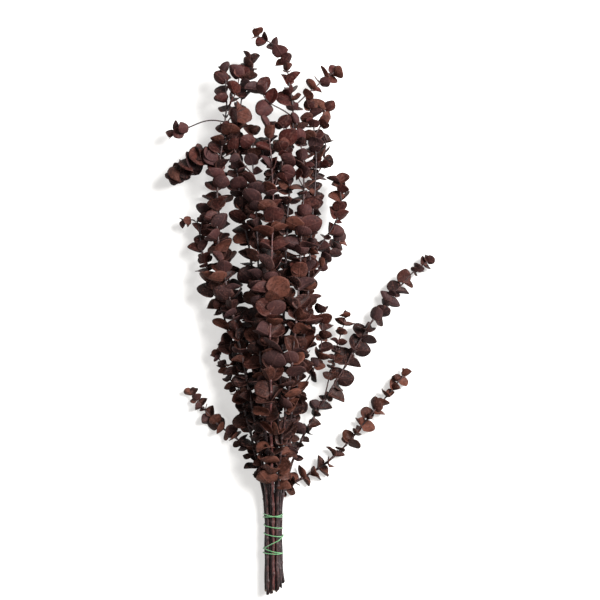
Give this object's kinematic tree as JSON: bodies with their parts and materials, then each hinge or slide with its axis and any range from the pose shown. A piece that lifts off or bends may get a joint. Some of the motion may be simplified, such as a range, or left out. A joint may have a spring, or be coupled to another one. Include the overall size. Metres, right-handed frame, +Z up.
{
  "type": "dried eucalyptus bunch",
  "caption": "Bunch of dried round-leaf eucalyptus branches, bare stems bound by a thin green elastic string, laid down flat.",
  "frame": {"origin": "middle of the bunch seen from above, at the height of the surface it lies on", "axes": "+Y from the cut ends to the leafy tips, +X to the right with the tips pointing away, +Z up from the surface"},
  "size_m": [0.3423, 0.7126, 0.1091],
  "materials": {
    "leaf": "dry preserved leaf, matt with a slight sheen",
    "bark": "dark purple-brown bark with pale nicks",
    "tie": "green elastic string, satin"
  },
  "bodies": {
    "root": {"branch_long_right": "leaf", "branch_low_right": "leaf", "branch_low_left": "leaf", "branch_left_column": "leaf", "branch_left_tall": "leaf", "branch_left_inner": "leaf", "branch_left_low": "leaf", "branch_centre_left": "leaf", "branch_centre_top": "leaf", "branch_centre_low": "leaf", "branch_centre_tall": "leaf", "branch_centre_right": "leaf", "branch_right_inner": "leaf", "branch_right_outer": "leaf", "branch_right_low": "leaf", "shoot_top_right": "leaf", "shoot_top_left": "leaf", "shoot_left_tip": "leaf", "shoot_left_arc": "leaf", "shoot_left_twig": "leaf", "shoot_left_small": "leaf", "shoot_right_middle": "leaf", "shoot_right_fork": "leaf", "shoot_right_twig": "leaf", "shoot_left_crown": "leaf", "shoot_middle_crown": "leaf", "shoot_right_crown": "leaf", "shoot_centre_fork": "leaf", "shoot_left_fill": "leaf", "shoot_centre_crown": "leaf", "shoot_right_fill": "leaf", "tie_string": "tie"}
  },
  "joints": []
}
